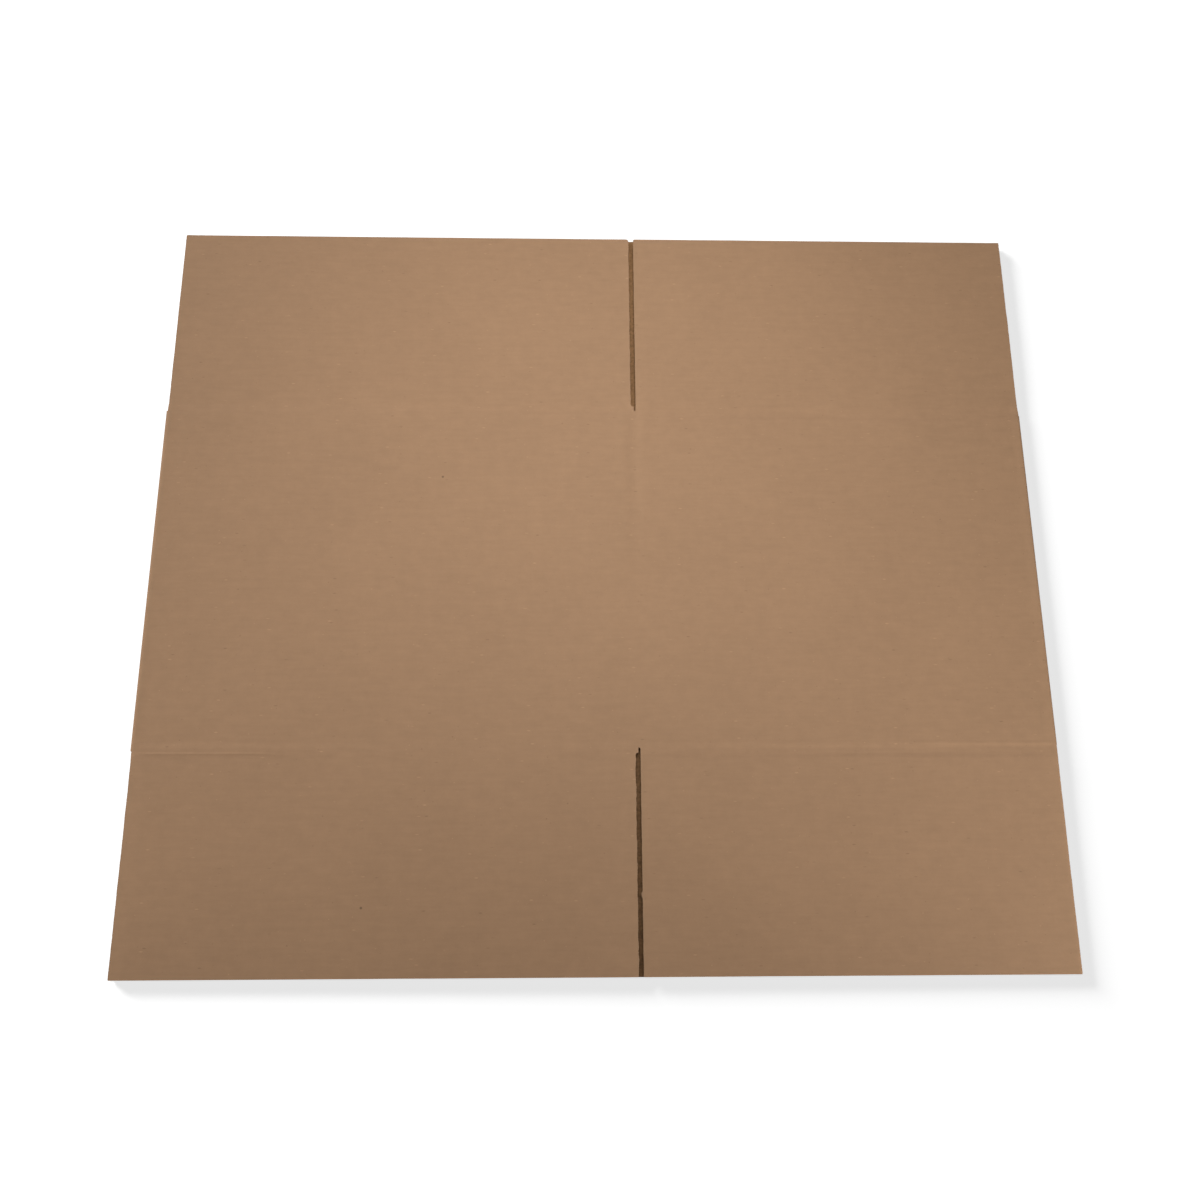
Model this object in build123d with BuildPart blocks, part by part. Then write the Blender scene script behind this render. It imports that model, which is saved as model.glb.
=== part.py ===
from build123d import *
import os
from math import pi

# Flattened shipping carton: one sheet of corrugated board, slotted and scored, folded
# flat at its two outer upright scores and glued to itself along a tab.
# It lies on its lower board. X runs across the folded width, Y along the height that
# the carton has when it is set up, Z up. The origin is on the floor, under its middle.

# Corrugated board: a wave of fluting between two papers
board_t = 4.0
liner_t = 0.4
fluting_t = 0.25
flute_pitch = 7.8
flute_crest = 1.5
flute_margin = 1.5

# Panels, from score to score
long_panel = 482.5
short_panel = 407.0
body_h = 352.5
flap_overlap = 2.0

# Slots, seam and glue tab
slot_w = 6.0
slot_overrun = 1.0
seam_gap = 4.0
tab_w = 35.0
tab_t = 1.5
tab_inset = 3.0
tab_taper = 9.0
tab_clearance = 0.1

# Folds and scores
fold_gap = 0.5
pressed_t = 3.5
fold_band = 8.0
score_band = 14.0
score_flat = 6.0
score_rise = 0.3
score_line_w = 1.4
upright_score_w = 13.0
score_depth = 0.2

# The outer paper keeps its length round a fold, so a fold stands short of its score.
fold_r = pressed_t + fold_gap / 2
fold_z = board_t + fold_gap / 2
score_x = (long_panel + short_panel) / 2
fold_tip_x = score_x - (pi / 2 - 1) * fold_r
fold_arc_x = fold_tip_x - fold_r
fold_start_x = fold_tip_x - fold_band

# Half a slot is cut away at each outer score, and a whole one at the middle score.
flap_edge_x = score_x - slot_w / 2
middle_x = long_panel - score_x
slot_left_x = middle_x - slot_w / 2
slot_right_x = middle_x + slot_w / 2

# In the lower board the short panel stops short of the fold that carries the tab.
tab_fold_x = short_panel - score_x
tab_end_x = tab_fold_x - tab_w
seam_left_x = tab_fold_x - seam_gap
seam_right_x = tab_fold_x + slot_w / 2

flap_h = short_panel / 2 + flap_overlap
half_h = body_h / 2 + flap_h
fold_half_h = body_h / 2 - slot_overrun
tab_half_h = fold_half_h - tab_inset
scores_y = (-body_h / 2, body_h / 2)

# The upper panels ride up over the tab, and meet in a low ridge at the middle score.
upper_z = board_t + fold_gap
top_z = upper_z + board_t
tab_share = (fold_start_x + tab_end_x) / (fold_start_x + middle_x)
ridge_rise = max(tab_t + tab_clearance - fold_gap, 0) / tab_share


def lift(x):
    """How far the upper board has risen at x."""
    run = fold_start_x + middle_x if x < middle_x else fold_start_x - middle_x
    return ridge_rise * max(1 - abs(x - middle_x) / run, 0)


def flutes(left_x, right_x, under):
    """The middle of each flute that fits between two edges, where under(x) is the board's underside."""
    count = int((right_x - left_x - 2 * flute_margin) / flute_pitch)
    first_x = (left_x + right_x - (count - 1) * flute_pitch) / 2
    middles = [first_x + i * flute_pitch for i in range(count)]
    return [(x, under(x)) for x in middles]


def lower_under(x):
    """The lower board lies flat on the floor."""
    return 0


def upper_under(x):
    """The upper board lies on the fold gap and rises to the ridge."""
    return upper_z + lift(x)


# What is cut out of the boards: the two slots at the middle score, the room for the two
# folds, the valley of the middle score and the fine lines of the flap scores underneath
with BuildPart() as cuts:
    for side in (-1, 1):
        with Locations((middle_x, side * (fold_half_h + flap_h / 2 + slot_overrun / 2), top_z)):
            Box(slot_w, flap_h + slot_overrun, 2 * board_t)
        with Locations((side * (fold_start_x + fold_band / 2), 0, fold_z)):
            Box(fold_band, 2 * fold_half_h, 3 * board_t)
    with BuildSketch(Plane.XZ):
        valley_x = (middle_x - upright_score_w / 2, middle_x + upright_score_w / 2)
        Polygon(
            (valley_x[0], board_t + upper_under(valley_x[0])),
            (middle_x, board_t + upper_under(middle_x) - score_depth),
            (valley_x[1], board_t + upper_under(valley_x[1])),
            (middle_x, 2 * board_t + upper_under(middle_x)),
            align=None,
        )
    extrude(amount=fold_half_h, both=True)
    with BuildSketch(Plane.YZ.offset(-flap_edge_x)):
        for score_y in scores_y:
            with Locations((score_y - score_band / 2, 0), (score_y + score_band / 2, 0)):
                Polygon((-score_line_w / 2, 0), (score_line_w / 2, 0), (0, score_depth), align=None)
    extrude(amount=2 * flap_edge_x)

# What joins the boards: the two pressed folds and the glue tab, which leaves the long
# panel, climbs the seam and lies on the short panel
with BuildPart() as folds:
    with BuildSketch(Plane.XZ):
        with BuildLine():
            Polyline((fold_start_x, board_t), (fold_start_x, 0), (fold_arc_x, board_t - pressed_t))
            ThreePointArc(
                (fold_arc_x, board_t - pressed_t), (fold_tip_x, fold_z), (fold_arc_x, upper_z + pressed_t)
            )
            Polyline((fold_arc_x, upper_z + pressed_t), (fold_start_x, top_z), (fold_start_x, upper_z))
            Line((fold_start_x, upper_z), (fold_arc_x, upper_z))
            ThreePointArc((fold_arc_x, upper_z), (fold_arc_x + fold_gap / 2, fold_z), (fold_arc_x, board_t))
            Line((fold_arc_x, board_t), (fold_start_x, board_t))
        make_face()
        mirror(about=Plane.YZ)
    extrude(amount=fold_half_h, both=True)
    with BuildSketch(Plane.XZ):
        Polygon(
            (seam_right_x, 0),
            (seam_right_x, board_t),
            (tab_fold_x, board_t),
            (tab_fold_x - tab_t, board_t + tab_t),
            (seam_left_x, board_t + tab_t),
            (seam_left_x, board_t),
            (tab_fold_x, 0),
            align=None,
        )
    extrude(amount=tab_half_h, both=True)
    with BuildSketch(Plane.XY.offset(board_t)):
        Polygon(
            (seam_left_x, -tab_half_h),
            (seam_left_x, tab_half_h),
            (tab_end_x, tab_half_h - tab_taper),
            (tab_end_x, tab_taper - tab_half_h),
            align=None,
        )
    extrude(amount=tab_t)

# Flap scores: a low bead across the upper panels, which follows their rise
bends_x = (-flap_edge_x, -fold_start_x, middle_x, fold_start_x, flap_edge_x)
with BuildPart() as beads:
    for score_y in scores_y:
        with BuildLine() as bead_path:
            Polyline(*[(x, score_y, board_t + upper_under(x)) for x in bends_x])
        with BuildSketch(Plane.YZ.offset(-flap_edge_x)) as bead_section:
            with Locations((score_y, top_z)):
                Polygon(
                    (-score_band / 2, -score_depth),
                    (-score_band / 2, 0),
                    (-score_flat / 2, score_rise),
                    (score_flat / 2, score_rise),
                    (score_band / 2, 0),
                    (score_band / 2, -score_depth),
                    align=None,
                )
        sweep(bead_section.sketch, path=bead_path.wires()[0], transition=Transition.RIGHT)

# The carton: two boards with flutes that run up the carton's height, open at the flaps' ends
with BuildPart() as carton:
    with BuildSketch(Plane.XZ.offset(half_h)):
        upper_foot = [(x, upper_under(x)) for x in bends_x]
        Polygon(*upper_foot, *[(x, z + board_t) for x, z in reversed(upper_foot)], align=None)
        for left_x, right_x in ((-flap_edge_x, seam_left_x), (seam_right_x, flap_edge_x)):
            Polygon((left_x, 0), (right_x, 0), (right_x, board_t), (left_x, board_t), align=None)
        flute_places = flutes(-fold_start_x, seam_left_x, lower_under)
        flute_places += flutes(seam_right_x, fold_start_x, lower_under)
        flute_places += flutes(-fold_start_x, slot_left_x, upper_under)
        flute_places += flutes(slot_right_x, fold_start_x, upper_under)
        narrow = flute_crest / 2
        wide = flute_pitch / 2 - narrow - fluting_t
        with Locations(*[(x - flute_pitch / 4, z + liner_t) for x, z in flute_places]):
            cell_h = board_t - 2 * liner_t - fluting_t
            Polygon((-wide, 0), (wide, 0), (narrow, cell_h), (-narrow, cell_h), align=None, mode=Mode.SUBTRACT)
        with Locations(*[(x + flute_pitch / 4, z + board_t - liner_t) for x, z in flute_places]):
            Polygon((-narrow, -cell_h), (narrow, -cell_h), (wide, 0), (-wide, 0), align=None, mode=Mode.SUBTRACT)
    extrude(amount=-2 * half_h)
    add(beads.part)
    add(cuts.part, mode=Mode.SUBTRACT)
    add(folds.part)

carton.part.label = "carton"
os.makedirs("parts", exist_ok=True)
export_step(carton.part, "parts/carton.step")
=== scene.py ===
from math import pi, radians

import bpy
import numpy as np
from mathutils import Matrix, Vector
from mathutils.geometry import delaunay_2d_cdt
from mathutils.kdtree import KDTree


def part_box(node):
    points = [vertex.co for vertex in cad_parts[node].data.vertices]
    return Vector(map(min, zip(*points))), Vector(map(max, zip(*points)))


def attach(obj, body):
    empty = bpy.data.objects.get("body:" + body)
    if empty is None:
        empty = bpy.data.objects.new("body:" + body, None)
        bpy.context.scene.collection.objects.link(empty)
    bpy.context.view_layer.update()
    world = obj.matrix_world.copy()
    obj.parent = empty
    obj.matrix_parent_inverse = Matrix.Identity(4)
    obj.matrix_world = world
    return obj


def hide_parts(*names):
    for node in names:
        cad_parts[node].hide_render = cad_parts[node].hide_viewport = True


# A flattened shipping carton. Its three papers are laid out as the flat blank that they were cut
# from, and folded from there. A point of the blank has three numbers: u runs across it from the
# middle score, v up the carton, and depth goes in from the outer face of the outer paper.
# Once it is folded, x runs across the carton. The near side has negative v, the far side positive.

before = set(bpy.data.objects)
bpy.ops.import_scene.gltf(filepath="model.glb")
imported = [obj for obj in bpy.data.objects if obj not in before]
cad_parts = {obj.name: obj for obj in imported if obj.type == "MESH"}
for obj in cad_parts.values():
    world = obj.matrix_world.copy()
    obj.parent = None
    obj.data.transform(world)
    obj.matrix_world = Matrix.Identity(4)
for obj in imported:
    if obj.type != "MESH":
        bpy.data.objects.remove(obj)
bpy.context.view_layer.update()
low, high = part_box("carton")

MM = 0.001

# The board: a wave of fluting between two papers
BOARD_T = 4.0 * MM
PAPER_T = 0.4 * MM
FLUTING_T = 0.25 * MM
FLUTE_PITCH = 7.8 * MM

# Panels, from score to score
LONG_PANEL = 482.5 * MM
SHORT_PANEL = 407.0 * MM
BODY_HALF_H = 176.25 * MM
HALF_H = high.y

# Folds: the outer paper keeps its length round them. A nose is the board's pressed edge at a fold,
# more square where its square value is lower
FOLD_GAP = 0.5 * MM
PRESSED_T = 3.5 * MM
PRESS_BAND = 12.0 * MM
FOLD_R = PRESSED_T + FOLD_GAP / 2
FOLD_Z = BOARD_T + FOLD_GAP / 2
SCORE_X = high.x + (pi / 2 - 1) * FOLD_R
ARC_X = high.x - FOLD_R
PRESS_X = high.x - PRESS_BAND
MIDDLE_X = LONG_PANEL - SCORE_X
UPPER_Z = BOARD_T + FOLD_GAP
TOP_Z = 2 * BOARD_T + FOLD_GAP
LEFT_NOSE_TOP = TOP_Z + 0.15 * MM
RIGHT_NOSE_TOP = TOP_Z + 0.3 * MM
NOSE_BOTTOM = 0.2 * MM
LEFT_NOSE_SQUARE = 0.72
RIGHT_NOSE_SQUARE = 0.5
RIGHT_NOSE_IN = 1.0 * MM

# Slots: a plain one at each outer score, a torn one at the middle score
SLOT_HALF_W = 3.0 * MM
NEAR_FLAP_INSET = 4.25 * MM
FAR_FLAP_INSET = 4.7 * MM
SLOT_END = 175.25 * MM
RIGHT_SLOT_END = 170.5 * MM
FAR_SLOT_END = 177.8 * MM
NEAR_SLOT_END = 173.3 * MM
FAR_SLOT_RIGHT_U = 2.1 * MM
NEAR_SLOT_RIGHT_U = 1.55 * MM

# Between these a flap comes free of the pressed folds beside it
FLAP_FREE_V = (SLOT_END, SLOT_END + 14 * MM)

# Seam and glue tab
SEAM_GAP = 4.0 * MM
TAB_W = 35.0 * MM
TAB_T = 1.5 * MM
TAB_HALF_H = 172.25 * MM
TAB_TAPER = 9.0 * MM
TAB_CLEARANCE = 0.02 * MM
TAB_FOLD_X = SHORT_PANEL - SCORE_X
SEAM_X = TAB_FOLD_X - SEAM_GAP
PANEL_A_U = -2 * SCORE_X - MIDDLE_X - SEAM_X
PANEL_D_U = SHORT_PANEL + LONG_PANEL - SLOT_HALF_W
TAB_FOLD_U = SHORT_PANEL + LONG_PANEL
TAB_END_U = TAB_FOLD_U + TAB_W

# Where the tab's outer and inner face climb over the seam
OUTER_CLIMB_X = (SEAM_X, TAB_FOLD_X + 0.5 * MM)
INNER_CLIMB_X = (SEAM_X + 0.8 * MM, TAB_FOLD_X + 0.8 * MM)

# The flap scores' lines under the lower board: how far each is from the score, and its size
LINE_OUT = 7 * MM
LINE_HALF_W = 0.9 * MM
LINE_DEPTH = 0.2 * MM


def smooth(x, start, end):
    """0 before start, 1 after end, and an even curve between them."""
    t = np.clip((x - start) / (end - start), 0, 1)
    return t * t * (3 - 2 * t)


def bump(x, centre, half_width):
    """A rounded hump, 1 at its centre and 0 at half_width from it."""
    return 1 - smooth(np.abs(x - centre), 0, half_width)


def waves(x, lengths, seed):
    """A smooth wandering line with a spread of about 1, from one sine for each wavelength."""
    rng = np.random.default_rng(seed)
    phases = rng.uniform(0, 2 * pi, len(lengths))
    total = sum(np.sin(2 * pi * x / length + phase) for length, phase in zip(lengths, phases))
    return total * (2 / len(lengths)) ** 0.5


# The near flap score's bead: its least height, and what it gains towards each side
BEAD_H = 0.12 * MM
BEAD_RIGHT_GAIN = 0.60 * MM
BEAD_RIGHT_X = (-90 * MM, 370 * MM)
BEAD_LEFT_GAIN = 0.33 * MM
BEAD_LEFT_X = (150 * MM, 410 * MM)
BEAD_UNEVEN = 0.12
BEAD_WAVES = (31 * MM, 19 * MM, 53 * MM)

# Where the bead climbs, by how far out it is from the score, and how this shifts where the climb
# is late and where it is steep
CLIMB_START = -9.5 * MM
CLIMB_END = -2.0 * MM
LATE_X = (20 * MM, 100 * MM)
LATE_END_SHIFT = 1.2 * MM
STEEP_X = (300 * MM, 380 * MM)
STEEP_START_SHIFT = 1.2 * MM
STEEP_END_SHIFT = -1.8 * MM

# Its descent on the flap: a quick part, and a slow one that the far flap shares
QUICK_SHARE = 0.45
QUICK_OUT = (2.5 * MM, 7.5 * MM)
SLOW_OUT = (8 * MM, 80 * MM)

# The fine ridge along the bead: where its left end is whole, and the middle of its right part
RIDGE_OUT = 2.2 * MM
RIDGE_HALF_W = 1.6 * MM
LEFT_RIDGE_H = 0.21 * MM
LEFT_RIDGES = ((-428 * MM, -390 * MM), (-386 * MM, -348 * MM), (-344 * MM, -316 * MM))
LEFT_RIDGE_END = 1 * MM
RIGHT_RIDGE_H = 0.08 * MM
RIGHT_RIDGE_X = 270 * MM
RIGHT_RIDGE_HALF = 90 * MM

# The far flap score's step down, and the slight rise before it
STEP_H = 0.6 * MM
STEP_UNEVEN = 0.2
STEP_WAVES = (67 * MM, 41 * MM)
STEP_LEFT_LOSS = 0.2 * MM
STEP_LEFT_X = (180 * MM, 240 * MM)
STEP_OUT = (-1.5 * MM, 8 * MM)
FAR_RISE_H = 0.2 * MM
FAR_RISE_X = (0, 100 * MM)
FAR_RISE_OUT = (-8 * MM, -4 * MM)


def near_crease(x, out):
    """The near flap score, by how far out it is: a bead that stands up towards the carton's sides, with
    a fine ridge along it. The flap beyond it starts lower and comes back to its level."""
    right_gain = BEAD_RIGHT_GAIN * smooth(x, *BEAD_RIGHT_X)
    left_gain = BEAD_LEFT_GAIN * smooth(-x, *BEAD_LEFT_X)
    height = (BEAD_H + right_gain + left_gain) * (1 + BEAD_UNEVEN * waves(x, BEAD_WAVES, seed=3))
    steep = smooth(x, *STEEP_X)
    late = smooth(x, *LATE_X) * (1 - steep)
    climb_start = CLIMB_START + STEEP_START_SHIFT * steep
    climb_end = CLIMB_END + STEEP_END_SHIFT * steep + LATE_END_SHIFT * late
    climb = smooth(out, climb_start, climb_end)
    descent = QUICK_SHARE * smooth(out, *QUICK_OUT) + (1 - QUICK_SHARE) * smooth(out, *SLOW_OUT)
    ridge = RIGHT_RIDGE_H * bump(x, RIGHT_RIDGE_X, RIGHT_RIDGE_HALF)
    for start, end in LEFT_RIDGES:
        begun = smooth(x, start - LEFT_RIDGE_END, start + LEFT_RIDGE_END)
        ended = smooth(x, end - LEFT_RIDGE_END, end + LEFT_RIDGE_END)
        ridge += LEFT_RIDGE_H * begun * (1 - ended)
    return height * climb * (1 - descent) + ridge * bump(out, RIDGE_OUT, RIDGE_HALF_W)


def far_crease(x, out):
    """The far flap score: a slight rise before it and a low step down to the flap."""
    height = STEP_H * (1 + STEP_UNEVEN * waves(x, STEP_WAVES, seed=4))
    height -= STEP_LEFT_LOSS * smooth(-x, *STEP_LEFT_X)
    before = FAR_RISE_H * smooth(x, *FAR_RISE_X) * smooth(out, *FAR_RISE_OUT)
    return before - height * smooth(out, *STEP_OUT) * (1 - smooth(out, *SLOW_OUT))


def crease(x, v):
    """How far the upper board's top stands above its level along the flap scores."""
    out = np.abs(v) - BODY_HALF_H
    return np.where(v < 0, near_crease(x, out), far_crease(x, out))


# The upper board's low roof, which lies over the tab with its ridge at the middle score
ROOF_H = 1.436 * MM
ROOF_SINKS_V = (BODY_HALF_H, HALF_H - 20 * MM)

# The valley of the middle score
VALLEY_DEPTH = 0.05 * MM
VALLEY_FAR_GAIN = 0.40 * MM
VALLEY_FAR_V = (-60 * MM, 150 * MM)
VALLEY_HALF_W = 11 * MM
VALLEY_ENDS_V = (SLOT_END - 6 * MM, SLOT_END + 4 * MM)

# The curl of the flaps' sides, and the board's unevenness
NEAR_CURL = -0.32 * MM
FAR_CURL = 0.18 * MM
CURL_X = (424 * MM, 441 * MM)
CURL_V = (SLOT_END, SLOT_END + 25 * MM)
UNEVEN_H = 0.03 * MM
UNEVEN_X_WAVES = (97 * MM, 61 * MM)
UNEVEN_V_WAVES = (83 * MM, 57 * MM)


def upper_rise(x, v):
    """How far the upper board stands above its level at the folds: a low roof with its ridge at the
    middle score, which sinks to nothing towards the ends of the far flaps."""
    run = np.where(x < MIDDLE_X, PRESS_X + MIDDLE_X, PRESS_X - MIDDLE_X)
    roof = ROOF_H * np.clip(1 - np.abs(x - MIDDLE_X) / run, 0, 1)
    return roof * (1 - smooth(v, *ROOF_SINKS_V))


def upper_outer(x, v):
    """The top of the upper board, away from the folds."""
    depth = VALLEY_DEPTH + VALLEY_FAR_GAIN * smooth(v, *VALLEY_FAR_V)
    valley = depth * bump(x, MIDDLE_X, VALLEY_HALF_W) * (1 - smooth(np.abs(v), *VALLEY_ENDS_V))
    curl = np.where(v < 0, NEAR_CURL, FAR_CURL) * smooth(np.abs(x), *CURL_X) * smooth(np.abs(v), *CURL_V)
    uneven = UNEVEN_H * waves(x, UNEVEN_X_WAVES, seed=5) * waves(v, UNEVEN_V_WAVES, seed=6)
    return TOP_Z + upper_rise(x, v) + crease(x, v) - valley + curl + uneven


def upper_inner(x, v):
    """The underside of the upper board, away from the folds."""
    return UPPER_Z + upper_rise(x, v)


def lower_outer(x, v, with_tab):
    """The underside of the lower board: flat on the floor, with two fine lines at each flap score. The
    glue tab climbs over the seam."""
    lines = sum(bump(np.abs(v), BODY_HALF_H + side * LINE_OUT, LINE_HALF_W) for side in (-1, 1))
    climb = np.where(with_tab, 1 - smooth(x, *OUTER_CLIMB_X), 0)
    return LINE_DEPTH * lines + climb * (BOARD_T + TAB_CLEARANCE)


def lower_inner(x, with_tab):
    """The upper face of the lower board, and of the tab where it has climbed over the seam."""
    climb = np.where(with_tab, 1 - smooth(x, *INNER_CLIMB_X), 0)
    return BOARD_T + TAB_T * climb


def laid_flat(flat_x, v):
    """Where the board's two faces lie away from the folds: x, and the heights of the outer and the inner
    face. Beyond an outer score the board has turned back under the upper one, and the right end of it
    carries the tab."""
    run = np.abs(flat_x)
    lower = run > SCORE_X
    x = np.where(lower, np.sign(flat_x) * (2 * SCORE_X - run), flat_x)
    with_tab = flat_x > 0
    outer = np.where(lower, lower_outer(x, v, with_tab), upper_outer(x, v))
    inner = np.where(lower, lower_inner(x, with_tab), upper_inner(x, v))
    return x, outer, inner


def pressed_flat(flat_x, share, x, outer, inner):
    """Where a point lies on the body, whose folds are pressed thin and turn round. It is a share of the
    way from the outer to the inner face."""
    side = np.sign(flat_x)
    run = np.abs(flat_x)
    lower = run > SCORE_X
    pressed = smooth(run, PRESS_X, ARC_X) * (1 - smooth(run, 2 * SCORE_X - ARC_X, 2 * SCORE_X - PRESS_X))
    nose_top = np.where(side > 0, RIGHT_NOSE_TOP, LEFT_NOSE_TOP)
    square = np.where(side > 0, RIGHT_NOSE_SQUARE, LEFT_NOSE_SQUARE)
    panel_outer = outer + (np.where(lower, NOSE_BOTTOM, nose_top) - outer) * pressed
    panel_z = panel_outer + (inner - panel_outer) * share
    turn = np.clip((run - ARC_X) / FOLD_R, 0, pi)
    outer_reach = np.where(side > 0, FOLD_R - RIGHT_NOSE_IN, FOLD_R)
    reach = outer_reach + (FOLD_GAP / 2 - outer_reach) * share
    outer_height = np.where(lower, FOLD_Z - NOSE_BOTTOM, nose_top - FOLD_Z)
    height = outer_height + (FOLD_GAP / 2 - outer_height) * share
    nose_x = side * (ARC_X + reach * np.sin(turn) ** square)
    nose_z = FOLD_Z + height * np.sign(np.cos(turn)) * np.abs(np.cos(turn)) ** square
    on_nose = (run > ARC_X) & (run < 2 * SCORE_X - ARC_X)
    return np.where(on_nose, nose_x, x), np.where(on_nose, nose_z, panel_z)


def fold(u, v, depth):
    """Where a point of the flat blank lies once the carton is folded flat."""
    flat_x = MIDDLE_X + u
    share = depth / BOARD_T
    x, outer, inner = laid_flat(flat_x, v)
    flap_z = outer + (inner - outer) * share
    body_x, body_z = pressed_flat(flat_x, share, x, outer, inner)
    flap = smooth(np.abs(v), *FLAP_FREE_V)
    folded_x = body_x + (x - body_x) * flap
    folded_z = body_z + (flap_z - body_z) * flap
    return np.stack([folded_x, v, np.clip(folded_z, low.z, high.z)], axis=-1)


# How each kind of edge is cut: the spacing of its points and how rough it is
EDGES = {
    "end": (4.0 * MM, 0.05 * MM),
    "side": (3.0 * MM, 0.05 * MM),
    "torn": (0.6 * MM, 0.36 * MM),
    "nicked": (0.8 * MM, 0.17 * MM),
    "clean": (1.0 * MM, 0.09 * MM),
    "blunt": (0.8 * MM, 0.10 * MM),
}

# How an edge frays: the shares of its fine and its coarse part, the points that a coarse one spans,
# and the most that it strays, as a multiple of how rough it is
FINE_FRAY = 0.45
COARSE_FRAY = 0.55
FRAY_SPAN = 9
FRAY_LIMIT = 2.2

# The blank's rounded corners: their radii, how much larger the one on the torn side of a middle slot
# is, and how many points each has
BLANK_R = 0.8 * MM
SLOT_MOUTH_R = 1.0 * MM
FAR_MOUTH_R = 1.9 * MM
NEAR_MOUTH_R = 1.1 * MM
LEFT_MOUTH_SHARE = 1.6
ARC_POINTS = 5

# The inner end of a middle slot, as steps from the slot's left or right side and beyond its end. A
# tongue goes further in at the right side, which it meets at its root
LEFT_END = ((0, 7.5 * MM, "torn"), (0.9 * MM, 5.2 * MM, "blunt"))
TONGUE = ((-2.0 * MM, 4.8 * MM), (-1.9 * MM, 0), (-0.4 * MM, -0.2 * MM))
TONGUE_ROOT = 1.6 * MM

# A small tear at the near middle slot, as steps from its right side and places along it
NEAR_TEAR = (
    (0, -306 * MM, "blunt"),
    (-1.2 * MM, -308.5 * MM, "blunt"),
    (-0.9 * MM, -311 * MM, "blunt"),
    (0, -313 * MM, "nicked"),
)


def arc(corner, before, after, radius):
    """Points that round a corner of an outline."""
    if radius <= 0:
        return [corner]
    inward = [(p - corner) / np.hypot(*(p - corner)) * radius for p in (before, after)]
    shares = np.linspace(0, 1, ARC_POINTS)
    return [corner + inward[0] * (1 - t) ** 2 + inward[1] * t**2 for t in shares]


def run_of_points(start, end, spacing, rough, rng):
    """Points from start up to end, which is left out, frayed across the line by about rough."""
    length = np.hypot(*(end - start))
    count = max(round(length / spacing), 1)
    points = start + (np.arange(count) / count)[:, None] * (end - start)
    across = np.array([start[1] - end[1], end[0] - start[0]]) / length
    fine = rng.normal(0, 1, count)
    window = np.ones(FRAY_SPAN) / FRAY_SPAN**0.5
    coarse = np.convolve(rng.normal(0, 1, count + FRAY_SPAN - 1), window, "valid")
    offset = rough * (FINE_FRAY * fine + COARSE_FRAY * coarse)
    offset[0] = 0
    return points + np.clip(offset, -FRAY_LIMIT * rough, FRAY_LIMIT * rough)[:, None] * across


def slot_corners(left, right, sign, slot_end=SLOT_END):
    """The corners of a plain slot, from left to right, with each corner's radius and next edge."""
    edge = sign * HALF_H
    end = sign * slot_end
    return [
        (left, edge, SLOT_MOUTH_R, "clean"),
        (left, end, 0, "blunt"),
        (right, end, 0, "clean"),
        (right, edge, SLOT_MOUTH_R, "end"),
    ]


def middle_slot_corners(sign):
    """The corners of a slot at the middle score: its left edge is torn, and a tongue at its right edge
    goes further in. The near one has a small tear at its right edge too."""
    far = sign > 0
    left = -SLOT_HALF_W
    right = FAR_SLOT_RIGHT_U if far else NEAR_SLOT_RIGHT_U
    end_v = FAR_SLOT_END if far else NEAR_SLOT_END
    mouth = FAR_MOUTH_R if far else NEAR_MOUTH_R
    corners = [(left, sign * HALF_H, LEFT_MOUTH_SHARE * mouth, "torn")]
    corners += [(left + across, sign * (end_v + beyond), 0, edge) for across, beyond, edge in LEFT_END]
    corners += [(right + across, sign * (end_v + beyond), 0, "blunt") for across, beyond in TONGUE]
    corners.append((right, sign * (end_v + TONGUE_ROOT), 0, "clean" if far else "nicked"))
    if not far:
        corners += [(right + across, v, 0, edge) for across, v, edge in NEAR_TEAR]
    return [*corners, (right, sign * HALF_H, mouth, "end")]


def side_corners(sign):
    """The corners of the blank's near or far side, from left to right."""
    inset = FAR_FLAP_INSET if sign > 0 else NEAR_FLAP_INSET
    corners = [(PANEL_A_U, sign * HALF_H, BLANK_R, "end")]
    corners += slot_corners(-LONG_PANEL - SLOT_HALF_W, -LONG_PANEL + inset, sign)
    corners += middle_slot_corners(sign)
    right_end = SLOT_END if sign > 0 else RIGHT_SLOT_END
    corners += slot_corners(SHORT_PANEL - inset, SHORT_PANEL + SLOT_HALF_W, sign, right_end)
    corners += [
        (PANEL_D_U, sign * HALF_H, BLANK_R, "side"),
        (PANEL_D_U, sign * TAB_HALF_H, 0, "blunt"),
        (TAB_FOLD_U, sign * TAB_HALF_H, 0, "blunt"),
        (TAB_END_U, sign * (TAB_HALF_H - TAB_TAPER), 0, "side"),
    ]
    return corners


def blank_corners():
    """The corners of the whole blank, anticlockwise."""
    near, far = side_corners(-1), side_corners(1)
    kinds = [kind for *_, kind in far]
    turned = [(u, v, r, kinds[i - 1]) for i, (u, v, r, _) in enumerate(far)]
    turned[0] = (*turned[0][:3], "side")
    return near + turned[::-1]


def blank_outline(seed):
    """The blank's outline, frayed as its cuts are."""
    rng = np.random.default_rng(seed)
    corners = blank_corners()
    places = [np.array(c[:2]) for c in corners]
    ends = []
    for i, (_, _, radius, _) in enumerate(corners):
        after = places[(i + 1) % len(places)]
        ends.append(arc(places[i], places[i - 1], after, radius))
    points = []
    for i, (_, _, _, kind) in enumerate(corners):
        points += ends[i][:-1]
        start, end = ends[i][-1], ends[(i + 1) % len(ends)][0]
        points += list(run_of_points(start, end, *EDGES[kind], rng))
    points = np.array(points)
    points[:, 1] = points[:, 1].clip(-HALF_H, HALF_H)
    return points


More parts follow.
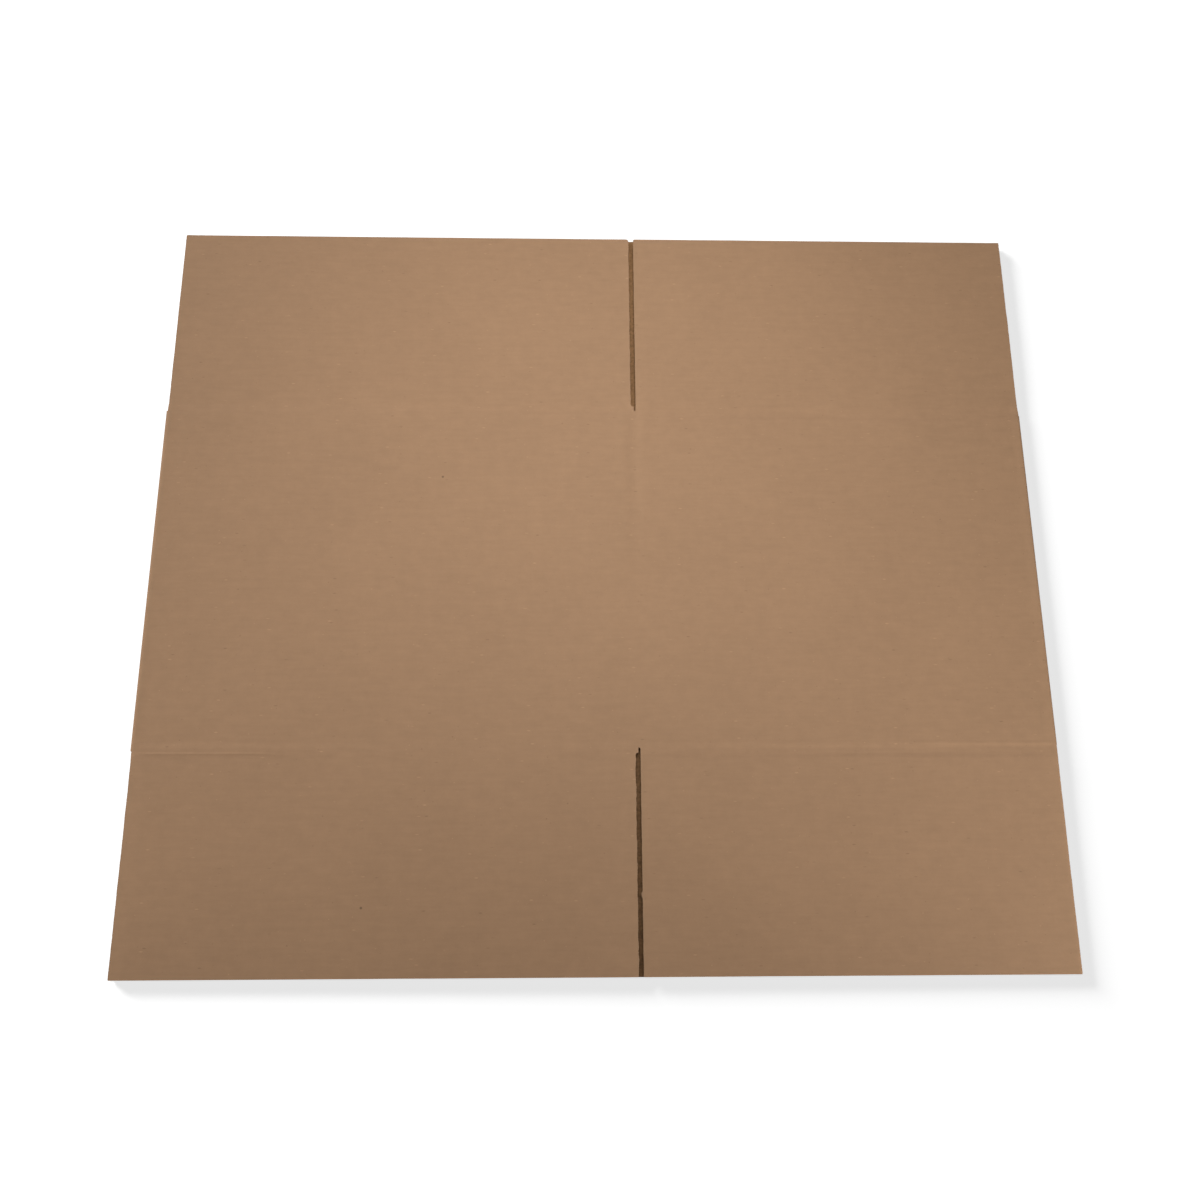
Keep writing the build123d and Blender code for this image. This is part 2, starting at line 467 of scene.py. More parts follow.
# The grids that fill the papers: the widest steps, and where the steps are small, as a middle, a
# half width and a step. Away from there the steps grow by a share of the distance
FINE_STEP_U = 13 * MM
FINE_STEP_V = 12 * MM
COARSE_STEP = 40 * MM
STEP_GROWTH = 0.3
FOLD_SCORES_U = (-LONG_PANEL, SHORT_PANEL)
FLAP_SCORES_V = (-BODY_HALF_H, BODY_HALF_H)
FOLD_BAND = 10.5 * MM
MIDDLE_SCORE = (0, 8.5 * MM, 1.4 * MM)
TAB_JOGGLE = (TAB_FOLD_U + 1.5 * MM, 3.5 * MM, 0.7 * MM)
FINE_NEAR_U = [*[(u, FOLD_BAND, 1.0 * MM) for u in FOLD_SCORES_U], MIDDLE_SCORE, TAB_JOGGLE]
FINE_NEAR_V = [(v, 9.0 * MM, 0.7 * MM) for v in FLAP_SCORES_V]
COARSE_NEAR_U = [*[(u, FOLD_BAND, 1.4 * MM) for u in FOLD_SCORES_U], TAB_JOGGLE]
COARSE_NEAR_V = [(v, 4 * MM, 3 * MM) for v in FLAP_SCORES_V]

# The narrow rim along an outline: how wide it is, how far its points keep from the outline and from
# each other as shares of that, and how far the grid keeps from both
RIM_INSET = 0.9 * MM
RIM_CLEAR_SHARE = 0.75
RIM_STEP_SHARE = 0.9
GRID_CLEAR = 0.8 * MM

# Points this close, in metres, count as one when an outline is filled
MERGE_DISTANCE = 1e-9


def graded(start, end, widest, small_places):
    """Numbers from start to end, widest apart, closer together near each (centre, half width, step)."""
    values = [start]
    while values[-1] < end:
        here = values[-1]
        steps = [widest]
        for centre, half, step in small_places:
            steps.append(step + STEP_GROWTH * max(abs(here - centre) - half, 0))
        values.append(here + min(steps))
    return np.array(values[1:-1])


def inside(points, outline):
    """Which points lie inside a closed outline."""
    result = np.zeros(len(points), bool)
    starts, ends = outline, np.roll(outline, -1, axis=0)
    for v in np.unique(points[:, 1]):
        crossed = (starts[:, 1] > v) != (ends[:, 1] > v)
        a, b = starts[crossed], ends[crossed]
        crossings = np.sort(a[:, 0] + (v - a[:, 1]) / (b[:, 1] - a[:, 1]) * (b[:, 0] - a[:, 0]))
        row = points[:, 1] == v
        result[row] = np.searchsorted(crossings, points[row, 0]) % 2 == 1
    return result


def clear_of(points, others, gap):
    """The points that stand at least a gap away from all the others."""
    tree = KDTree(len(others))
    for i, p in enumerate(others):
        tree.insert((p[0], p[1], 0), i)
    tree.balance()
    far = [tree.find((p[0], p[1], 0))[2] >= gap for p in points]
    return points[np.array(far, bool)]


def rim_points(outline):
    """Points just inside an outline, which keep its rim narrow."""
    along = np.roll(outline, -1, axis=0) - np.roll(outline, 1, axis=0)
    normal = np.stack([-along[:, 1], along[:, 0]], axis=1) / np.hypot(*along.T)[:, None]
    rim = clear_of(outline + RIM_INSET * normal, outline, RIM_CLEAR_SHARE * RIM_INSET)
    rim = rim[inside(rim, outline)]
    kept = [rim[0]]
    for p in rim[1:]:
        if np.hypot(*(p - kept[-1])) > RIM_STEP_SHARE * RIM_INSET:
            kept.append(p)
    return np.array(kept)


def grid(outline, us, vs):
    """The crossings of a grid that lie inside an outline."""
    points = np.array([(u, v) for v in vs for u in us])
    return points[inside(points, outline)]


def fine_grid(outline):
    """Points of a face that shows: close together where the paper bends."""
    us = graded(PANEL_A_U, TAB_END_U, FINE_STEP_U, FINE_NEAR_U)
    vs = graded(-HALF_H, HALF_H, FINE_STEP_V, FINE_NEAR_V)
    rim = rim_points(outline)
    crossings = clear_of(grid(outline, us, vs), np.vstack([outline, rim]), GRID_CLEAR)
    return np.vstack([rim, crossings])


def coarse_grid(outline):
    """Points of a face that the fluting hides."""
    us = graded(PANEL_A_U, TAB_END_U, COARSE_STEP, COARSE_NEAR_U)
    vs = graded(-HALF_H, HALF_H, COARSE_STEP, COARSE_NEAR_V)
    return clear_of(grid(outline, us, vs), outline, GRID_CLEAR)


def triangles(outline, inner):
    """Triangles that fill the outline, anticlockwise. They number the outline's points first."""
    points = np.vstack([outline, inner])
    ring = list(range(len(outline)))
    vectors = [Vector(p) for p in points.tolist()]
    filled = delaunay_2d_cdt(vectors, [], [ring], 0, MERGE_DISTANCE, True)
    _, _, found, point_sources, _, face_sources = filled
    numbers = [sources[0] for sources in point_sources]
    faces = np.array([[numbers[i] for i in face] for face, within in zip(found, face_sources) if within])
    a, b, c = (points[faces[:, i]] for i in range(3))
    turn = (b[:, 0] - a[:, 0]) * (c[:, 1] - a[:, 1]) - (b[:, 1] - a[:, 1]) * (c[:, 0] - a[:, 0])
    faces[turn < 0] = faces[turn < 0][:, ::-1]
    return faces


# Edges sharper than this aren't smoothed
SHARP_ANGLE = radians(40)

# How worn a paper's cut edge is on the face that shows, where 1 is the hidden face's: on the whole, and as
# a painted highlight at the middle slot, where the left near flap's bent-down cut edge catches the light
EDGE_WEAR = 0.3
SLOT_EDGE_PAINTED_HIGHLIGHT = 0.8
HIGHLIGHT_BEFORE_V = -330 * MM
HIGHLIGHT_WITHIN_U = 1 * MM


def make_piece(name, places, faces, blank, wear_and_highlight, material):
    """One mesh piece of the carton, which keeps each point's place on the blank for its material."""
    mesh = bpy.data.meshes.new(name)
    mesh.from_pydata(places.tolist(), [], faces)
    mesh.attributes.new("blank", "FLOAT_VECTOR", "POINT").data.foreach_set("vector", blank.ravel())
    mesh.attributes.new("wear_and_highlight", "FLOAT", "POINT").data.foreach_set("value", wear_and_highlight)
    mesh.shade_smooth()
    mesh.set_sharp_from_angle(angle=SHARP_ANGLE)
    mesh.materials.append(material)
    piece = bpy.data.objects.new(name, mesh)
    bpy.context.scene.collection.objects.link(piece)
    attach(piece, "root")
    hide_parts("carton")
    return piece


def make_paper(name, seed, depths, fine_side, material):
    """A paper between two depths. The side that shows has a fine grid, and the other a coarse one."""
    outline = blank_outline(seed)
    inner = [fine_grid(outline), coarse_grid(outline)]
    if fine_side == 1:
        inner.reverse()
    flat, faces, sizes = [], [], []
    for side, points in enumerate(inner):
        found = triangles(outline, points)
        if side == 1:
            found = found[:, ::-1]
        faces += (found + sum(sizes)).tolist()
        flat.append(np.vstack([outline, points]))
        sizes.append(len(flat[-1]))
    count = len(outline)
    for i in range(count):
        j = (i + 1) % count
        faces.append([j, i, sizes[0] + i, sizes[0] + j])
    blank = np.vstack([np.column_stack([f, np.full(len(f), d)]) for f, d in zip(flat, depths)])
    wear_and_highlight = np.concatenate([(np.arange(size) < count) * 1.0 for size in sizes])
    shown = np.arange(sizes[0]) if fine_side == 0 else sizes[0] + np.arange(sizes[1])
    # A painted highlight on the cut edge along the left side of the near middle slot
    at_slot = np.abs(blank[shown, 0] + SLOT_HALF_W) < HIGHLIGHT_WITHIN_U
    painted_highlight = at_slot & (blank[shown, 1] < HIGHLIGHT_BEFORE_V)
    wear_and_highlight[shown] *= np.where(painted_highlight, SLOT_EDGE_PAINTED_HIGHLIGHT, EDGE_WEAR)
    return make_piece(name, fold(*blank.T), faces, blank, wear_and_highlight, material)


# The sides and the near end of each slot, as the fluting is cut
SLOT_SIDES = [
    (-LONG_PANEL - SLOT_HALF_W, -LONG_PANEL + FAR_FLAP_INSET, SLOT_END),
    (-SLOT_HALF_W, SLOT_HALF_W, NEAR_SLOT_END - 2 * MM),
    (SHORT_PANEL - FAR_FLAP_INSET, SHORT_PANEL + SLOT_HALF_W, RIGHT_SLOT_END),
]

# The fluting keeps this far inside the papers' edges
FLUTING_INSET = 0.35 * MM

# The fluting's points: steps to a flute, the least step, and its rows away from the slots' ends
FLUTE_STEPS = 7
LEAST_STEP = 0.05 * MM
PLAIN_ROWS = (40 * MM, 110 * MM, 165 * MM, 180 * MM, 190 * MM, 215 * MM, 270 * MM, 330 * MM, 376 * MM)


def in_blank(u, v):
    """Whether a place lies on the straight-edged blank, as far as the fluting goes."""
    panels = (u > PANEL_A_U) & (u < PANEL_D_U) & (np.abs(v) < HALF_H)
    tab = (u >= PANEL_D_U) & (u < TAB_END_U) & (np.abs(v) < TAB_HALF_H)
    slots = np.zeros_like(panels)
    for left, right, near_end in SLOT_SIDES:
        slots |= (u > left) & (u < right) & ((v > SLOT_END) | (v < -near_end))
    return (panels | tab) & ~slots


def fluting_columns():
    """Where the fluting has points across the blank: evenly along its wave, and beside the slots."""
    wave = np.arange(PANEL_A_U + FLUTING_INSET, TAB_END_U - FLUTING_INSET, FLUTE_PITCH / FLUTE_STEPS)
    beside = [PANEL_D_U - FLUTING_INSET, TAB_END_U - FLUTING_INSET]
    for left, right, _ in SLOT_SIDES:
        beside += [left - FLUTING_INSET, right + FLUTING_INSET]
    us = np.unique(np.concatenate([wave, beside]))
    return us[np.concatenate([[True], np.diff(us) > LEAST_STEP])]


def fluting_rows():
    """Where the fluting has points up the carton, the same on its near and its far half."""
    ends = (RIGHT_SLOT_END - FLUTING_INSET, SLOT_END - FLUTING_INSET, SLOT_END + FLUTING_INSET)
    half = np.array([*PLAIN_ROWS, *ends, HALF_H - FLUTING_INSET])
    return np.sort(np.concatenate([-half, half]))


def wave_points(us, vs):
    """The points of the fluting's two faces on the blank, one face after the other. They narrow towards
    the tab's end as the tab does."""
    phase = 2 * pi * us / FLUTE_PITCH
    height = (BOARD_T - 2 * PAPER_T - FLUTING_T) / 2
    depth = BOARD_T / 2 - height * np.sin(phase)
    slope = -height * 2 * pi / FLUTE_PITCH * np.cos(phase)
    length = np.sqrt(1 + slope**2)
    grid_u, grid_v = np.meshgrid(us, vs, indexing="ij")
    taper = 1 - TAB_TAPER / TAB_HALF_H * np.clip((grid_u - TAB_FOLD_U) / TAB_W, 0, 1)
    layers = []
    for side in (-1, 1):
        shifted = us - side * slope / length * FLUTING_T / 2
        layer_depth = depth + side / length * FLUTING_T / 2
        full_u = np.broadcast_to(shifted[:, None], grid_u.shape)
        full_depth = np.broadcast_to(layer_depth[:, None], grid_u.shape)
        layers.append(np.stack([full_u, grid_v * taper, full_depth], axis=-1).reshape(-1, 3))
    return np.vstack(layers)


def wave_faces(us, vs):
    """The faces on those points: both faces of the wave, and a rim wherever the blank ends."""
    middle_u, middle_v = (us[1:] + us[:-1]) / 2, (vs[1:] + vs[:-1]) / 2
    solid = in_blank(*np.meshgrid(middle_u, middle_v, indexing="ij"))
    rows, below = len(vs), len(us) * len(vs)
    faces = []
    padded = np.pad(solid, 1)
    for i, j in np.argwhere(solid):
        a, b, c, d = (p * rows + q for p, q in ((i, j), (i + 1, j), (i + 1, j + 1), (i, j + 1)))
        faces.append([a, b, c, d])
        faces.append([below + d, below + c, below + b, below + a])
        beside = (padded[i + 1, j], padded[i + 2, j + 1], padded[i + 1, j + 2], padded[i, j + 1])
        for (p, q), neighbour in zip(((a, b), (b, c), (c, d), (d, a)), beside):
            if not neighbour:
                faces.append([q, p, below + p, below + q])
    return faces


def make_fluting(material):
    """The wave between the papers. Its flutes run up the carton and are open at the flaps' ends."""
    us, vs = fluting_columns(), fluting_rows()
    blank = wave_points(us, vs)
    faces = wave_faces(us, vs)
    used = np.unique(np.concatenate([np.array(f) for f in faces]))
    renumbered = np.full(len(blank), -1)
    renumbered[used] = np.arange(len(used))
    faces = [renumbered[f].tolist() for f in faces]
    blank = blank[used]
    return make_piece("fluting", fold(*blank.T), faces, blank, np.zeros(len(blank)), material)


class Nodes:
    """A short way to write the node tree of a material or a world."""

    def __init__(self, owner):
        self.owner = owner
        owner.use_nodes = True
        self.tree = owner.node_tree
        self.tree.nodes.clear()

    def add(self, kind, values=None, **settings):
        """A shader node, with values or other nodes' outputs on its inputs."""
        node = self.tree.nodes.new("ShaderNode" + kind)
        for key, value in settings.items():
            setattr(node, key, value)
        for key, value in (values or {}).items():
            socket = node.inputs[key]
            if isinstance(value, bpy.types.NodeSocket):
                self.tree.links.new(value, socket)
            else:
                socket.default_value = value
        return node

    def math(self, operation, a, b=0.0):
        return self.add("Math", {0: a, 1: b}, operation=operation).outputs[0]

    def total(self, first, *others):
        """All the values added up."""
        for other in others:
            first = self.math("ADD", first, other)
        return first

    def product(self, a, b):
        return self.math("MULTIPLY", a, b)

    def noise(self, place, scale, detail=2.0, roughness=0.5):
        values = {"Vector": place, "Scale": scale, "Detail": detail, "Roughness": roughness}
        return self.add("TexNoise", values).outputs["Fac"]

    def stretched(self, place, scales):
        """The place with each of its axes scaled, for grain that runs one way."""
        return self.add("Mapping", {"Vector": place, "Scale": scales}).outputs[0]

    def level(self, value, start, end, first, last, **settings):
        """A value that goes from first to last while another goes from start to end."""
        limits = {"From Min": start, "From Max": end, "To Min": first, "To Max": last}
        return self.add("MapRange", {"Value": value, **limits}, **settings).outputs[0]

    def gentle(self, value, start, end):
        """0 before start, 1 after end, and an even curve between them."""
        return self.level(value, start, end, 0.0, 1.0, interpolation_type="SMOOTHSTEP")

    def band(self, value, centre, half_width, height):
        """A soft stripe: its height at the centre, and 0 from half_width on."""
        away = self.math("ABSOLUTE", self.math("SUBTRACT", value, centre))
        return self.level(away, 0.0, half_width, height, 0.0, interpolation_type="SMOOTHSTEP")

    def spot(self, place, centre, core, radius, height):
        """A small round mark: its height as far as the core goes, and 0 from the radius on."""
        flat = self.add("VectorMath", {0: place, 1: (1, 1, 0)}, operation="MULTIPLY").outputs[0]
        away = self.add("VectorMath", {0: flat, 1: (*centre, 0)}, operation="DISTANCE").outputs["Value"]
        return self.level(away, core, radius, height, 0.0)


# The papers' colours: on the whole, and where an edge is cut, worn or given a painted highlight
OUTER_COLOURS = ((0.341, 0.203, 0.114), (0.42, 0.28, 0.17))
INNER_COLOURS = ((0.245, 0.130, 0.056), (0.33, 0.20, 0.11))
FLUTING_COLOURS = ((0.260, 0.150, 0.080), (0.33, 0.21, 0.12))

# Most of a noise's values lie between these
NOISE_RANGE = (0.3, 0.7)

# How the paper's tone varies: waves in a metre along u, v and depth, detail, roughness, tone
MOTTLE = {
    "cloud": ((9, 9, 9), 3.0, 0.5, 0.022),
    "blotch": ((85, 85, 85), 4.0, 0.6, 0.038),
    "streak": ((30, 220, 1), 3.0, 0.6, 0.028),
    "fibre": ((520, 2000, 1), 3.0, 0.7, 0.017),
}

# Dark specks: cells in a metre, the radii that they fade between in cells, their tone, and how often
# and how much a broad noise lets them show
SPECK_SCALE = 46.0
SPECK_FADE = (0.018, 0.045)
SPECK_TONE = -0.22
SPECK_PICK = (30.0, 0.56)

# Dark and pale flecks: cells in a metre along u, v and depth, and their radius in cells
FLECKS = (((20, 60, 1), 0.045), ((46, 46, 1), 0.032))
FLECK_TONES = (-0.22, 0.26)
FLECK_CORE = 0.4

# How the inner paper shows in the slots: its painted shade and light at the near and the far flap score,
# darkening the near slot and lightening the far one, how many patches it has in a metre, and the noise that
# they lie between
SLOT_PAINTED_SHADE_AND_LIGHT = (-0.09, 0.06)
PATCH_SCALE = 330.0
PATCH_RANGE = (0.35, 0.65)

# The paper's fine relief and its roughness: waves in a metre, and how much they do
FIBRE_RELIEF = (500, 1900, 1)
LUMP_RELIEF = 260.0
RELIEF_STRENGTH = 0.28
RELIEF_H = 0.06 * MM
ROUGH_SCALE = 240.0
ROUGHNESS = (0.68, 0.82)

# The wear on an edge, which also carries the painted highlight by the near middle slot: where it begins and
# is whole, how many patches it has in a metre, the noise that they lie between and how much they leave of
# it
WEAR_RANGE = (0.35, 1.0)
WEAR_SCALE = 900.0
WEAR_PATCHES = (0.35, 0.6, 0.2, 1.0)

# Painted highlight and shade on the near flap score's relief: how far out the middle is, half the width,
# the tone
BEAD_PAINTED_HIGHLIGHT = (-4.2 * MM, 2.6 * MM, 0.030)
FOOT_PAINTED_SHADE = (4.6 * MM, 2.4 * MM, -0.014)
BEAD_END_PAINTED_HIGHLIGHT = (-6.2 * MM, 2.0 * MM, 0.065)
LINE_PAINTED_SHADE = (2.1 * MM, 0.9 * MM, -0.022)
RIDGE_PAINTED_HIGHLIGHT = (1.0 * MM, 1.0 * MM, 0.035)
LEFT_CORNER_PAINTED_SHADE = (-10.3 * MM, 1.0 * MM, -0.04)
RIGHT_END_PAINTED_SHADE = (-9.3 * MM, 1.0 * MM, -0.022)

# Where across the blank those marks are: the right half, the right end, the left end, the left corner
RIGHT_U = (0.0, 330 * MM)
RIGHT_END_U = (225 * MM, 320 * MM)
LEFT_END_U = (-340 * MM, -420 * MM)
LEFT_CORNER = (-446.0 * MM, 11 * MM, 1.0)

# Some marks break off along the score: breaks in a metre, and the noise that they fade between
BREAKS_SCALE = 38
BREAKS_RANGE = (0.42, 0.5)

# A short line of painted shade by the right fold, where the board begins to bend down, as its middle, half
# width and tone, and where it is along v
SIDE_BEND_PAINTED_SHADE = (390.7 * MM, 0.9 * MM, -0.035)
SIDE_BEND_PAINTED_SHADE_V = (-145 * MM, 21 * MM, 1.0)

# A paler band along the right fold, and where it ends
FOLD_PALE_BAND = (402.6 * MM, 3.2 * MM, 0.07)
FOLD_PALE_BAND_ENDS_V = (165 * MM, 176 * MM)

# The paler sides of the near flaps: where each begins and is whole, and its tone
NEAR_FLAPS_V = (-170 * MM, -180 * MM)
LEFT_SIDE = (-462 * MM, -474 * MM, 0.0, 0.020)
RIGHT_SIDE = (386 * MM, 399 * MM, 0.0, 0.024)

# Two single specks, each with a core that has the whole tone
SPECKS = ((-194.7 * MM, 103.4 * MM), (-255.9 * MM, -319.9 * MM))
SPECK_R = 1.6 * MM
SPECK_CORE_R = 0.48 * MM
SINGLE_SPECK_TONE = -0.55


def painted_crease_light_and_specks(n, blank):
    """Painted highlights and shade on the near flap score's relief, painted shade where the board bends by
    the right fold, a paler band along the right fold, paler sides of the near flaps, and two small specks."""
    u, v, _ = n.add("SeparateXYZ", {0: blank}).outputs
    out = n.math("SUBTRACT", n.product(v, -1.0), BODY_HALF_H)
    right, right_end, left_end = (n.gentle(u, *place) for place in (RIGHT_U, RIGHT_END_U, LEFT_END_U))
    broken = n.level(n.noise(n.stretched(blank, (BREAKS_SCALE, 0, 0)), 1.0), *BREAKS_RANGE, 0.0, 1.0)
    along_score = (
        (BEAD_PAINTED_HIGHLIGHT, right),
        (FOOT_PAINTED_SHADE, right),
        (BEAD_END_PAINTED_HIGHLIGHT, right_end),
        (LINE_PAINTED_SHADE, n.product(broken, right_end)),
        (RIDGE_PAINTED_HIGHLIGHT, n.product(broken, left_end)),
        (LEFT_CORNER_PAINTED_SHADE, n.band(u, *LEFT_CORNER)),
        (RIGHT_END_PAINTED_SHADE, right_end),
    )
    marks = [n.product(n.band(out, *mark), place) for mark, place in along_score]
    marks.append(n.product(n.band(u, *SIDE_BEND_PAINTED_SHADE), n.band(v, *SIDE_BEND_PAINTED_SHADE_V)))
    marks.append(n.product(n.band(u, *FOLD_PALE_BAND), n.level(v, *FOLD_PALE_BAND_ENDS_V, 1.0, 0.0)))
    sides = n.total(n.level(u, *LEFT_SIDE), n.level(u, *RIGHT_SIDE))
    marks.append(n.product(sides, n.level(v, *NEAR_FLAPS_V, 0.0, 1.0)))
    marks += [n.spot(blank, place, SPECK_CORE_R, SPECK_R, SINGLE_SPECK_TONE) for place in SPECKS]
    return n.total(*marks)


def paper_specks(n, place):
    """The small dark specks, and the flecks of all tones, each with the tone of its own cell."""
    cells = n.add("TexVoronoi", {"Vector": place, "Scale": SPECK_SCALE}).outputs
    speck = n.level(cells["Distance"], *SPECK_FADE, SPECK_TONE, 0.0)
    often, above = SPECK_PICK
    tones = [n.product(speck, n.math("GREATER_THAN", n.noise(place, often, 0.0), above))]
    for scales, size in FLECKS:
        values = {"Vector": n.stretched(place, scales), "Scale": 1.0}
        cells = n.add("TexVoronoi", values, voronoi_dimensions="2D").outputs
        tone = n.level(n.add("SeparateXYZ", {0: cells["Color"]}).outputs[0], 0.0, 1.0, *FLECK_TONES)
        tones.append(n.product(n.level(cells["Distance"], FLECK_CORE * size, size, 1.0, 0.0), tone))
    return n.total(*tones)


def slot_patches_and_painted_shade(n, place, blank, mottled):
    """The patches on the inner paper in the slots, and a painted shade that darkens it towards the near
    flap score and lightens it towards the far one.
    """
    patches = n.level(n.noise(place, PATCH_SCALE, 3.0, 0.6), *PATCH_RANGE, -mottled, mottled)
    v = n.add("SeparateXYZ", {0: blank}).outputs[1]
    return n.total(patches, n.level(v, -BODY_HALF_H, BODY_HALF_H, *SLOT_PAINTED_SHADE_AND_LIGHT))


def make_kraft(name, colours, seed, crease_light_and_specks=False, mottled=0.0):
    """Brown kraft paper: cloudy, with streaks along the web, short fibres, specks and pale cut edges."""
    base, edge = colours
    n = Nodes(bpy.data.materials.new(name))
    blank = n.add("Attribute", attribute_name="blank").outputs["Vector"]
    place = n.add("VectorMath", {0: blank, 1: (seed, seed, 0)}, operation="ADD").outputs[0]
    tones = [paper_specks(n, place)]
    for scales, detail, roughness, tone in MOTTLE.values():
        noise = n.noise(n.stretched(place, scales), 1.0, detail, roughness)
        tones.append(n.level(noise, *NOISE_RANGE, -tone, tone))
    # Painted highlight and shade along the near flap score and by the right fold, and two specks
    if crease_light_and_specks:
        tones.append(painted_crease_light_and_specks(n, blank))
    # Patches, and painted shade that darkens the near slot and lightens the far one
    if mottled:
        tones.append(slot_patches_and_painted_shade(n, place, blank, mottled))
    colour = n.add("VectorMath", {0: base, "Scale": n.total(1.0, *tones)}, operation="SCALE").outputs[0]
    # Worn edges, and the painted highlight by the near middle slot, take the edge colour
    wear_and_highlight = n.level(n.add("Attribute", attribute_name="wear_and_highlight").outputs["Fac"], *WEAR_RANGE, 0.0, 1.0)
    worn_and_highlit = n.product(wear_and_highlight, n.level(n.noise(place, WEAR_SCALE), *WEAR_PATCHES))
    mixed = n.add("Mix", {0: worn_and_highlit, 6: colour, 7: (*edge, 1)}, data_type="RGBA").outputs[2]
    fibres = n.noise(n.stretched(place, FIBRE_RELIEF), 1.0, 4.0, 0.7)
    relief = n.total(fibres, n.noise(place, LUMP_RELIEF, 3.0))
    bumps = n.add("Bump", {"Height": relief, "Strength": RELIEF_STRENGTH, "Distance": RELIEF_H}).outputs[0]
    rough = n.level(n.noise(place, ROUGH_SCALE, 3.0), *NOISE_RANGE, *ROUGHNESS)
    shader = n.add("BsdfPrincipled", {"Base Color": mixed, "Roughness": rough, "Normal": bumps})
    shader.inputs["IOR"].default_value = 1.45
    shader.inputs["Specular IOR Level"].default_value = 0.25
    n.add("OutputMaterial", {"Surface": shader.outputs[0]})
    return n.owner


# The stage: two square planes just under the carton. The camera sees only the lower one. It glows
# white beyond the larger radius round the origin and less within the smaller one, where the low lamp
# makes up for it outside the shadow
FLOOR_HALF = 8.0
FLOOR_LIT_Z = -0.02 * MM
FLOOR_SEEN_Z = -0.04 * MM
FLOOR_PALE = 0.8
FLOOR_GLOW = 0.735
FLOOR_SHADE = 1.42
GLOW_RADII = (0.62, 1.0)
WORLD_FILL = 0.04

# The photograph's view, which was fitted to the carton's outline, slots and scores. Its turn is in
# degrees, its lens and sensor in millimetres
CAMERA_PLACE = (-0.02998, -0.35972, 1.13503)
CAMERA_TURN = (16.4875, -1.5114, -0.3357)
CAMERA_LENS = 35.709
CAMERA_SENSOR = 36

# The lamps, which were placed by the photographed board's shading and its shadow
MAIN_LAMP = {"place": (0.02, 0.15, 0.86), "target": (0, 0.44, 0), "size": 0.5, "power": 4.29, "spread": 146}
RIGHT_LAMP = {"place": (0.61, -0.37, 0.40), "target": (0.3, -0.2, 0), "size": 0.5, "power": 1.72}
LEFT_LAMP = {"place": (-0.60, -0.30, 0.40), "target": (-0.3, -0.2, 0), "size": 0.5, "power": 0.76}
LOW_LAMP = {"place": (-3.58, 2.89, 1.376), "target": (0, 0, 0), "size": 2.0, "power": 208.4}


def make_plane(name, level, material):
    """A square stage plane round the origin."""
    corners = ((-1, -1), (1, -1), (1, 1), (-1, 1))
    mesh = bpy.data.meshes.new(name)
    mesh.from_pydata([(x * FLOOR_HALF, y * FLOOR_HALF, level) for x, y in corners], [], [[0, 1, 2, 3]])
    mesh.materials.append(material)
    plane = bpy.data.objects.new(name, mesh)
    bpy.context.scene.collection.objects.link(plane)
    return plane


def make_lit_floor():
    """The plane that lights the carton back. The camera doesn't see it."""
    n = Nodes(bpy.data.materials.new("floor_pale"))
    pale = n.add("BsdfDiffuse", {"Color": (FLOOR_PALE, FLOOR_PALE, FLOOR_PALE, 1)})
    n.add("OutputMaterial", {"Surface": pale.outputs[0]})
    lit = make_plane("floor", FLOOR_LIT_Z, n.owner)
    lit.visible_camera = False
    lit.visible_shadow = False


def make_seen_floor():
    """The plane that the camera sees: white where the low lamp reaches it, light grey in the shadow."""
    n = Nodes(bpy.data.materials.new("floor_white"))
    place = n.add("NewGeometry").outputs["Position"]
    away = n.add("VectorMath", {0: place}, operation="LENGTH").outputs["Value"]
    glow = n.level(away, *GLOW_RADII, FLOOR_GLOW, 1.0)
    white = n.add("Emission", {"Color": (1, 1, 1, 1), "Strength": glow})
    shade = n.add("BsdfDiffuse", {"Color": (FLOOR_SHADE, FLOOR_SHADE, FLOOR_SHADE, 1)})
    both = n.add("AddShader", {0: white.outputs[0], 1: shade.outputs[0]})
    n.add("OutputMaterial", {"Surface": both.outputs[0]})
    seen = make_plane("floor_seen", FLOOR_SEEN_Z, n.owner)
    seen.visible_diffuse = False
    seen.visible_glossy = False
    return seen


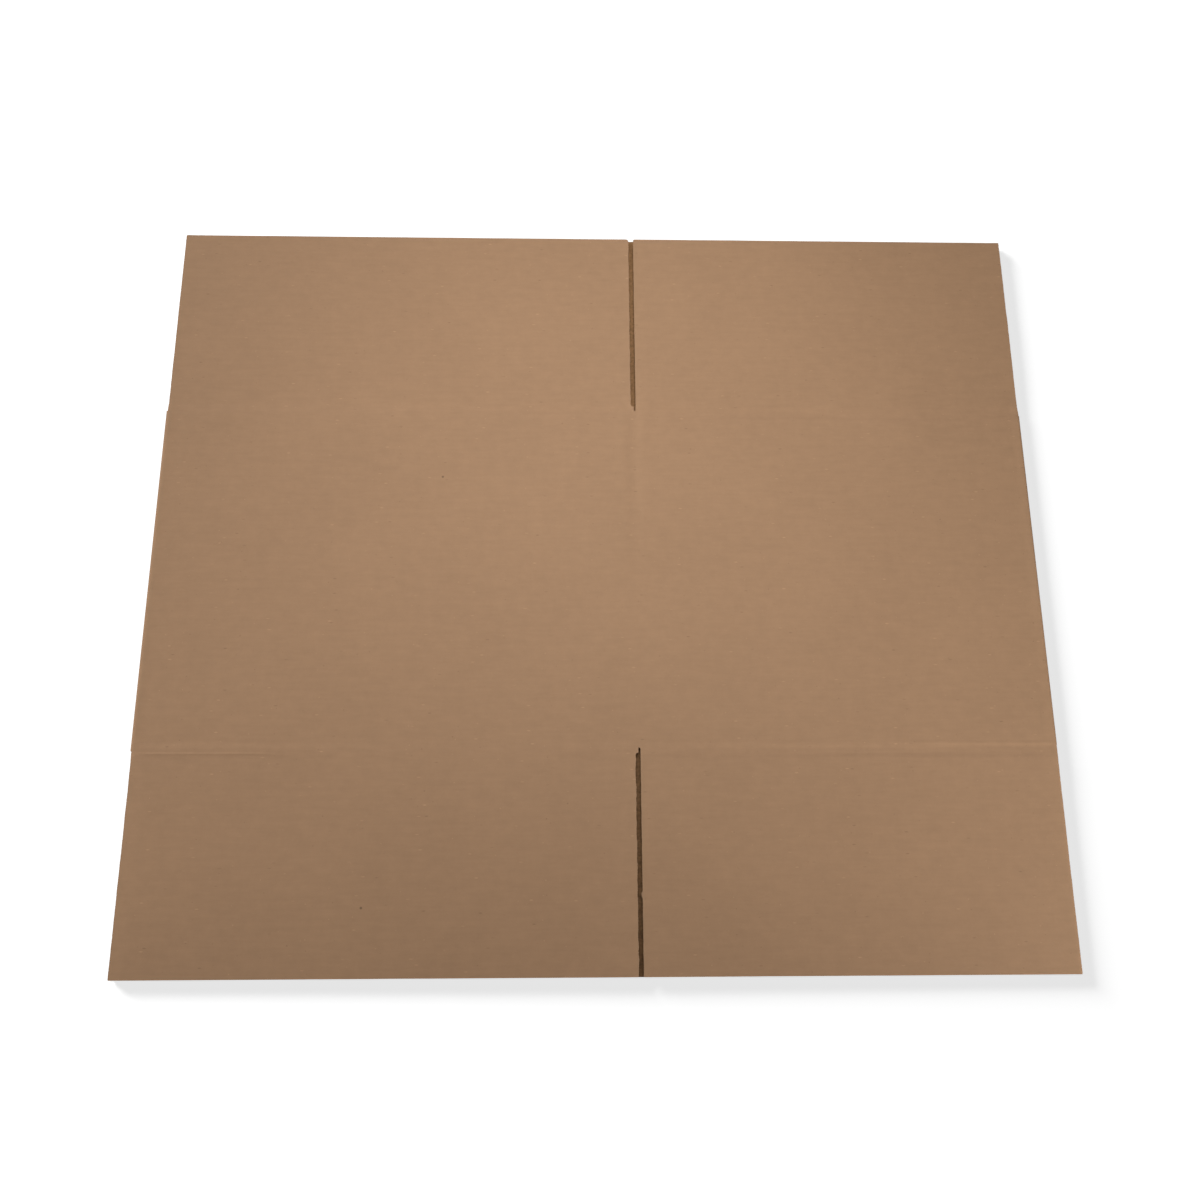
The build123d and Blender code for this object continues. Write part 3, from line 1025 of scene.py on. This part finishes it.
def make_world():
    """An even pale surround, which is white to the camera."""
    n = Nodes(bpy.data.worlds.new("surround"))
    path = n.add("LightPath").outputs
    direct = n.math("MAXIMUM", path["Is Camera Ray"], path["Is Transmission Ray"])
    strength = n.level(direct, 0.0, 1.0, WORLD_FILL, 1.0)
    background = n.add("Background", {"Color": (1, 1, 1, 1), "Strength": strength})
    n.add("OutputWorld", {"Surface": background.outputs[0]})
    bpy.context.scene.world = n.owner


def make_lamp(name, place, target, size, power, spread=180, not_on=None):
    """A soft square lamp that faces a target. It may leave out one stage plane."""
    light = bpy.data.lights.new(name, "AREA")
    light.size = size
    light.energy = power
    light.spread = radians(spread)
    lamp = bpy.data.objects.new(name, light)
    lamp.location = place
    lamp.rotation_euler = (Vector(target) - Vector(place)).to_track_quat("-Z", "Y").to_euler()
    lamp.visible_camera = False
    bpy.context.scene.collection.objects.link(lamp)
    if not_on:
        lit = bpy.data.collections.new(name + "_lights")
        lit.objects.link(not_on)
        lit.collection_objects[0].light_linking.link_state = "EXCLUDE"
        lamp.light_linking.receiver_collection = lit


def make_camera():
    """The photograph's view: from above, and a little from the near side."""
    camera = bpy.data.cameras.new("camera")
    camera.lens = CAMERA_LENS
    camera.sensor_width = CAMERA_SENSOR
    holder = bpy.data.objects.new("camera", camera)
    holder.location = CAMERA_PLACE
    holder.rotation_euler = [radians(angle) for angle in CAMERA_TURN]
    bpy.context.scene.collection.objects.link(holder)
    bpy.context.scene.camera = holder


make_camera()
# The outer paper carries the painted highlight and shade of the scores
outer_kraft = make_kraft("kraft_outer", OUTER_COLOURS, seed=0.0, crease_light_and_specks=True)
# The inner paper carries the slots' painted shade and light
inner_kraft = make_kraft("kraft_inner", INNER_COLOURS, seed=3.7, mottled=0.2)
fluting_kraft = make_kraft("kraft_fluting", FLUTING_COLOURS, seed=7.1)
make_paper("outer_paper", seed=11, depths=(0.0, PAPER_T), fine_side=0, material=outer_kraft)
make_paper("inner_paper", seed=12, depths=(BOARD_T - PAPER_T, BOARD_T), fine_side=1, material=inner_kraft)
make_fluting(fluting_kraft)

make_lit_floor()
floor_seen = make_seen_floor()
make_world()
make_lamp("main", **MAIN_LAMP, not_on=floor_seen)
make_lamp("right_side", **RIGHT_LAMP, not_on=floor_seen)
make_lamp("left_side", **LEFT_LAMP, not_on=floor_seen)
make_lamp("low", **LOW_LAMP)

bpy.context.scene.view_settings.view_transform = "Standard"
